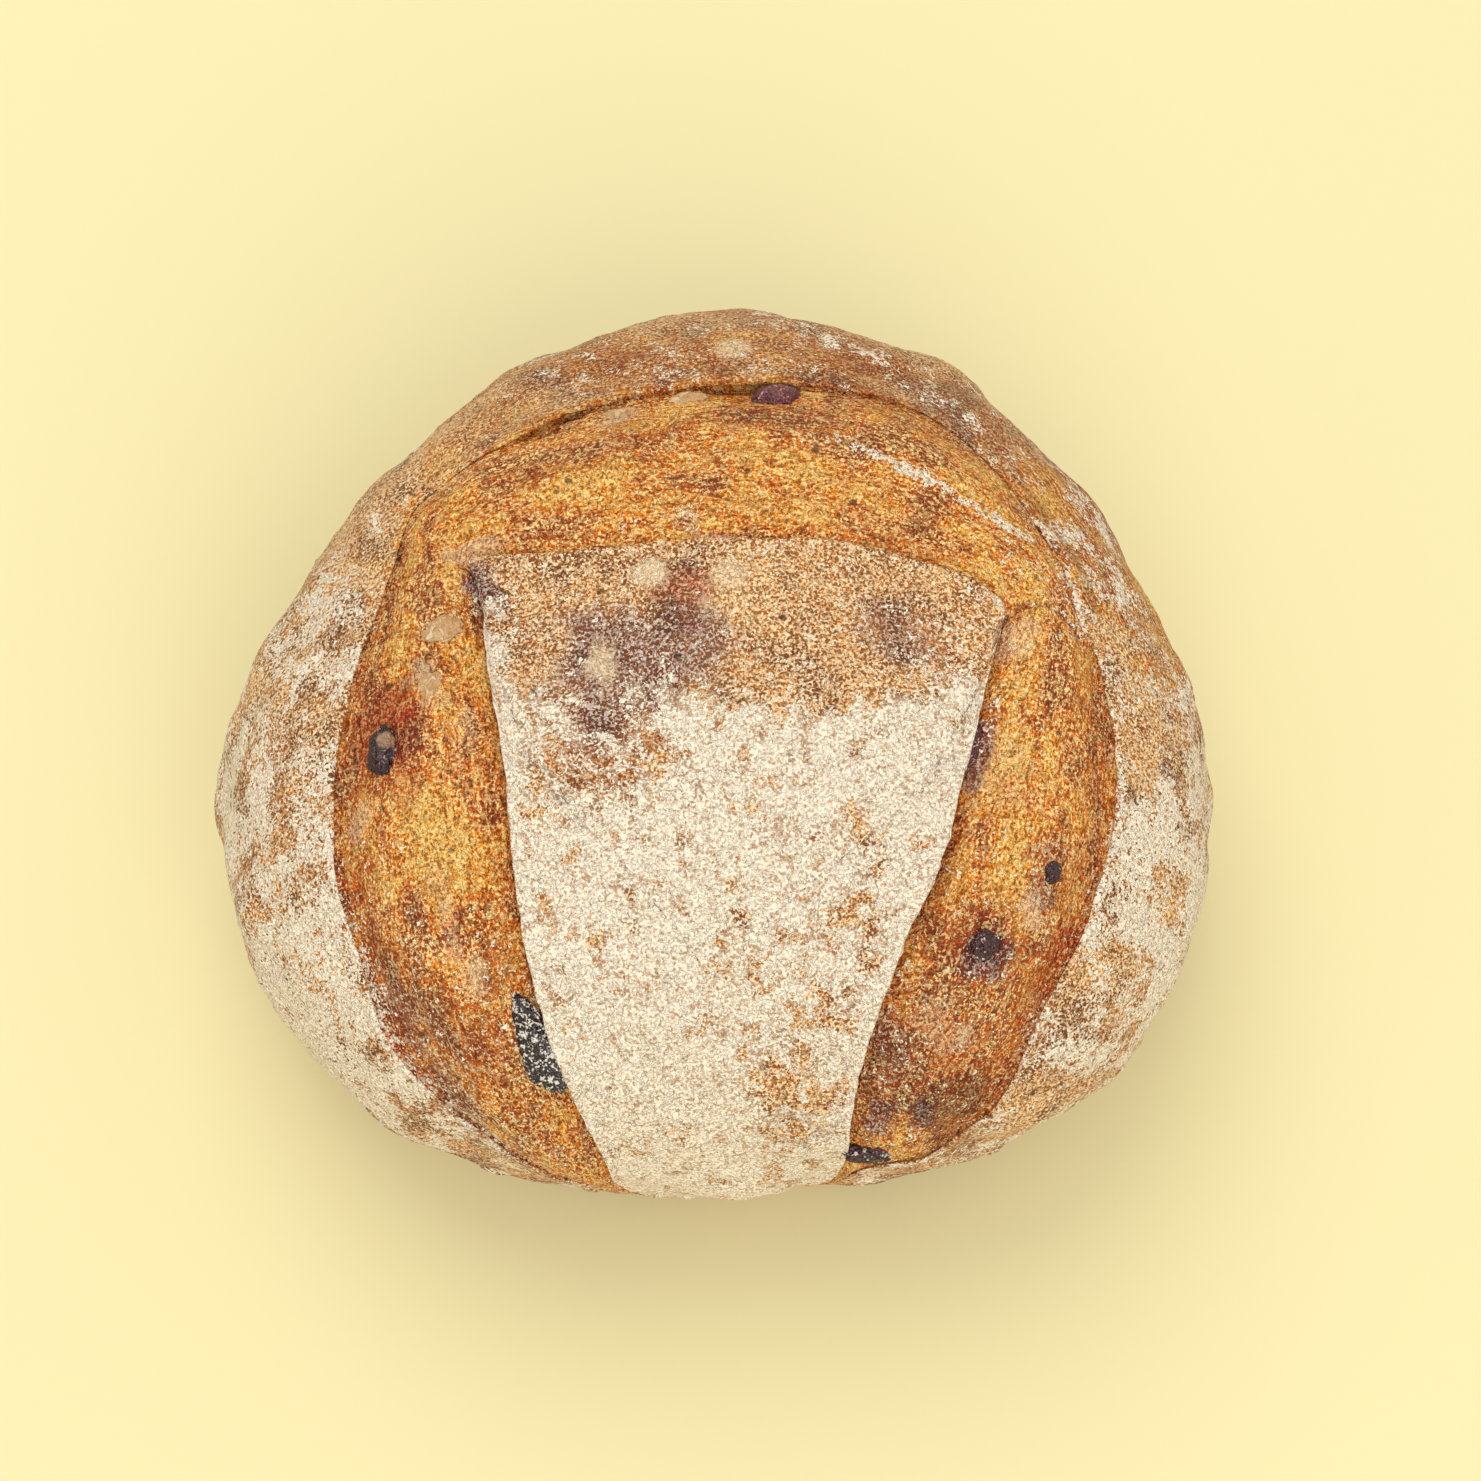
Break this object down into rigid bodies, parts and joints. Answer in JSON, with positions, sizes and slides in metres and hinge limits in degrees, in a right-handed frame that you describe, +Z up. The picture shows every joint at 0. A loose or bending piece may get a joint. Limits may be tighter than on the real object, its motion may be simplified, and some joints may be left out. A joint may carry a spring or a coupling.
{
  "type": "sourdough loaf",
  "caption": "Round hand-shaped sourdough loaf with dried berries and nuts baked in, a floured crust and a horseshoe-shaped score, resting on its flat underside",
  "frame": {"origin": "bottom centre of the bounding box, on the surface the loaf rests on", "axes": "+X to the loaf's right seen from the uncut side of the flap, +Y towards the long cut and the raised ear, +Z up through the crown"},
  "size_m": [0.1762, 0.1603, 0.0856],
  "materials": {
    "crust": "matt golden-brown baked crust, dusted with pale flour",
    "cranberry": "wrinkled dark red dried berry with a soft sheen",
    "walnut": "matt pale tan nut flesh"
  },
  "bodies": {
    "root": {"loaf": "crust", "cranberry_left": "cranberry", "cranberry_front_left": "cranberry", "cranberry_right": "cranberry", "cranberry_small_right": "cranberry", "cranberry_under_ear": "cranberry", "cranberry_flap_edge": "cranberry", "cranberry_front_right": "cranberry", "walnut_left_upper": "walnut", "walnut_left_lower": "walnut", "walnut_under_ear": "walnut", "walnut_crown": "walnut"}
  },
  "joints": []
}
